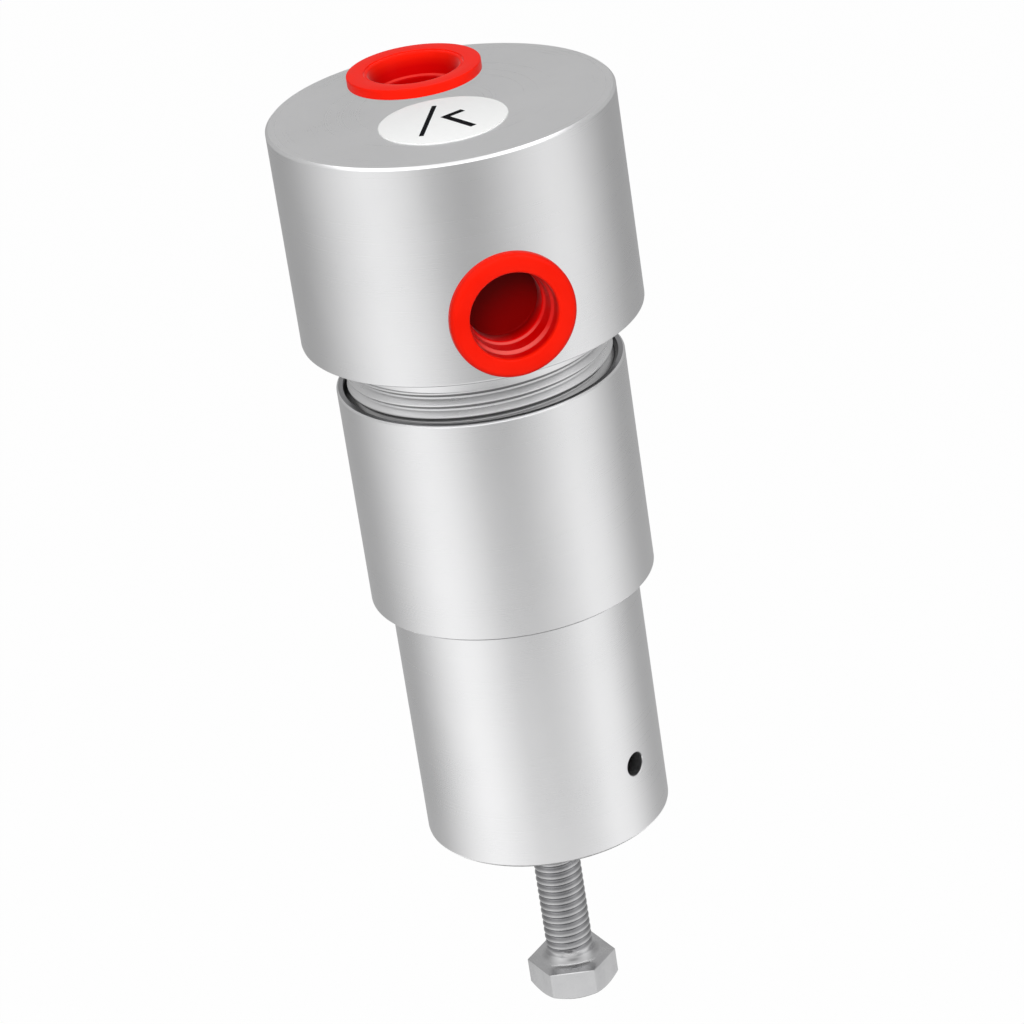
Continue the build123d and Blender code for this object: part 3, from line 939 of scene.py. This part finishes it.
def makeLabel():
    centre = (labelLow + labelHigh) / 2
    reach, thick = (labelHigh.x - labelLow.x) / 2, labelHigh.z - labelLow.z
    section = rounded([(0, 0, 0), (reach, 0, 0), (reach, thick, label["edge"]), (0, thick, 0)])
    disc = turnedPiece("roundLabel", section, label["columns"], finishes["label_film"])
    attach(placed(disc, (centre.x, centre.y, headTop)), "housing")
    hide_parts("round_label")
    length, width, low = label["bar"]
    bar = [(-length / 2, low), (length / 2, low), (length / 2, low + width), (-length / 2, low + width)]
    tick = [(x, y + label["tickLift"]) for x, y in label["tick"]]
    turn = Matrix.Rotation(radians(label["inkTurn"]), 4, "Z")
    for name, outline in (("labelBar", bar), ("labelTick", tick)):
        count = len(outline)
        points = [(x, y, height) for height in label["ink"] for x, y in outline]
        faces = [tuple(range(count)), tuple(range(count, 2 * count))]
        faces += [(k, (k + 1) % count, (k + 1) % count + count, k + count) for k in range(count)]
        mark = placed(meshPiece(name, points, faces, labelInk), (centre.x, centre.y, headTop + thick), turn)
        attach(mark, "housing")


makeLabel()
print("label laid on")

# studio: lamps for the plastic and the label, and a wall and discs that only reflections see
studio = {
    "floorHeight": -500,           # mm
    "floorReach": 4000,            # mm
    "floorGlow": 0.985,            # how much of what is seen of the floor is its own glow
    "roomLevel": 0.22,             # of the white that is seen, for the light that falls on things
    "lamps": [                     # name, azimuth from the camera, elevation, mm away, mm across, watts
        ("keyLamp", -8.0, 38.0, 900, 350, 6.0),
        ("sideLamp", 60.0, 30.0, 900, 500, 1.5),
        ("topLamp", 180.0, 60.0, 900, 500, 1.8),
    ],
    "wallReach": 450,              # mm
    "wallHeights": (-490, 760, 25),   # from, up to but not with, and step
    "wallStep": 4,                 # degrees
    "ceiling": (500, 420, 1.7),    # height, radius and brightness, as for the next two
    "overhead": (498, 180, 0.75),
    "underCard": (-480, 440, 0.2),
    "discSides": 48,
}
# brightness of the wall by degrees from the camera, in its lower part and in its upper one
wallLevels = [
    (-180, 0.42), (-140, 0.36), (-120, 0.38), (-100, 0.54), (-80, 0.77), (-58, 0.97), (-40, 0.92),
    (-24, 0.73), (-12, 0.50), (4, 0.36), (14, 0.39), (24, 0.50), (40, 0.70), (62, 0.89), (80, 0.83),
    (100, 0.57), (120, 0.37), (140, 0.36), (180, 0.42),
]
upperLevels = [
    (-180, 0.48), (-110, 0.5), (-70, 0.8), (-40, 0.72), (40, 0.72), (70, 0.8), (110, 0.5), (180, 0.48),
]
upperShare = [(0, 0.0), (160, 1.0)]            # by height in mm, as for the next three
lowLift = [(-270, 1.12), (-200, 1.1), (-150, 1.05), (-100, 0.97)]
stripeLift = [
    (-343, 0.5), (-286, 0.32), (-216, 0.30), (-204, 0.18), (-190, 0.13), (-150, 0.09), (-110, 0.03),
    (-60, 0.0),
]
hexShare = [(-400, 1.0), (-310, 0.0)]          # how far the wall goes to the level behind the hexagon
hexLevel = 1.1
stripeAzimuth, stripeSpread = 4, 36            # degrees: the dark stripe that stripeLift lightens


def wallLevel(azimuth, height):
    side = between(wallLevels, azimuth) * between(lowLift, height)
    side += between(stripeLift, height) * max(0.0, 1 - abs(azimuth - stripeAzimuth) / stripeSpread)
    side += (hexLevel - side) * between(hexShare, height)
    return side + (between(upperLevels, azimuth) - side) * between(upperShare, height)


def seenDirectly(tree):
    # one where a camera, mirror or see-through ray looks, else zero
    path = tree.nodes.new("ShaderNodeLightPath")
    either = sumNode(tree, "MAXIMUM", path.outputs["Is Camera Ray"], path.outputs["Is Glossy Ray"])
    return sumNode(tree, "MAXIMUM", either, path.outputs["Is Transmission Ray"])


def stagePiece(name, points, faces):
    mesh = bpy.data.meshes.new(name)
    mesh.from_pydata([Vector(p) * mm for p in points], [], faces)
    piece = bpy.data.objects.new(name, mesh)
    bpy.context.scene.collection.objects.link(piece)
    material = bpy.data.materials.new(name)
    material.use_nodes = True
    material.node_tree.nodes.clear()
    mesh.materials.append(material)
    return piece, material.node_tree


def makeWorld():
    world = bpy.data.worlds.new("whiteStudio")
    bpy.context.scene.world = world
    world.use_nodes = True
    tree = world.node_tree
    background = tree.nodes["Background"]
    background.inputs["Color"].default_value = (1, 1, 1, 1)
    level = spread(tree, seenDirectly(tree), studio["roomLevel"], 1.0, 0.0, 1.0)
    tree.links.new(level, background.inputs["Strength"])


def makeFloor():
    reach, height = studio["floorReach"], studio["floorHeight"]
    corners = [(x * reach, y * reach, height) for x, y in ((-1, -1), (1, -1), (1, 1), (-1, 1))]
    tree = stagePiece("paleFloor", corners, [(0, 1, 2, 3)])[1]
    paint = addNode(tree, "ShaderNodeBsdfDiffuse", {"Color": (0.9, 0.9, 0.9, 1)})
    glow = addNode(tree, "ShaderNodeEmission", {"Color": (1, 1, 1, 1), "Strength": 1.0})
    share = sumNode(tree, "MULTIPLY", seenDirectly(tree), studio["floorGlow"])
    mix = addNode(tree, "ShaderNodeMixShader", {0: share, 1: paint.outputs[0], 2: glow.outputs[0]})
    tree.links.new(mix.outputs[0], tree.nodes.new("ShaderNodeOutputMaterial").inputs["Surface"])


def onlyReflected(piece, tree, strength):
    glow = addNode(tree, "ShaderNodeEmission", {"Color": (1, 1, 1, 1), "Strength": strength})
    tree.links.new(glow.outputs[0], tree.nodes.new("ShaderNodeOutputMaterial").inputs["Surface"])
    piece.visible_camera = piece.visible_diffuse = piece.visible_shadow = piece.visible_transmission = False


def makeWall():
    azimuths = range(-180, 180, studio["wallStep"])
    heights = range(*studio["wallHeights"])
    points, levels = [], []
    for azimuth in azimuths:
        turn = radians(photoView["azimuth"] + azimuth)
        for height in heights:
            points.append((studio["wallReach"] * sin(turn), -studio["wallReach"] * cos(turn), height))
            levels.append(wallLevel(azimuth, height))
    rows, columns = len(heights), len(azimuths)
    faces = [(c * rows + r, (c + 1) % columns * rows + r, (c + 1) % columns * rows + r + 1, c * rows + r + 1)
             for c in range(columns) for r in range(rows - 1)]
    wall, tree = stagePiece("reflectedWall", points, faces)
    wall.data.attributes.new("level", "FLOAT", "POINT").data.foreach_set("value", levels)
    onlyReflected(wall, tree, addNode(tree, "ShaderNodeAttribute", attribute_name="level").outputs["Fac"])


def makeDisc(name, height, radius, level):
    sides = studio["discSides"]
    turns = [2 * pi * k / sides for k in range(sides)]
    points = [(radius * cos(turn), radius * sin(turn), height) for turn in turns]
    disc, tree = stagePiece(name, points, [tuple(range(sides))])
    onlyReflected(disc, tree, level)


def addLamp(name, azimuth, elevation, distance, across, watts):
    data = bpy.data.lights.new(name, "AREA")
    data.energy, data.size, data.shape = watts, across * mm, "DISK"
    lamp = bpy.data.objects.new(name, data)
    turn, rise = radians(photoView["azimuth"] + azimuth), radians(elevation)
    spot = Vector((sin(turn) * cos(rise), -cos(turn) * cos(rise), sin(rise))) * distance * mm
    lamp.matrix_world = Matrix.Translation(spot) @ (-spot).to_track_quat("-Z", "Y").to_matrix().to_4x4()
    lamp.visible_glossy = False
    bpy.context.scene.collection.objects.link(lamp)


makeWorld()
makeFloor()
makeWall()
makeDisc("reflectedCeiling", *studio["ceiling"])
makeDisc("reflectedOverhead", *studio["overhead"])
makeDisc("reflectedUnderside", *studio["underCard"])
for lampFacts in studio["lamps"]:
    addLamp(*lampFacts)
bpy.context.scene.view_settings.view_transform = "Standard"
print("studio set up")
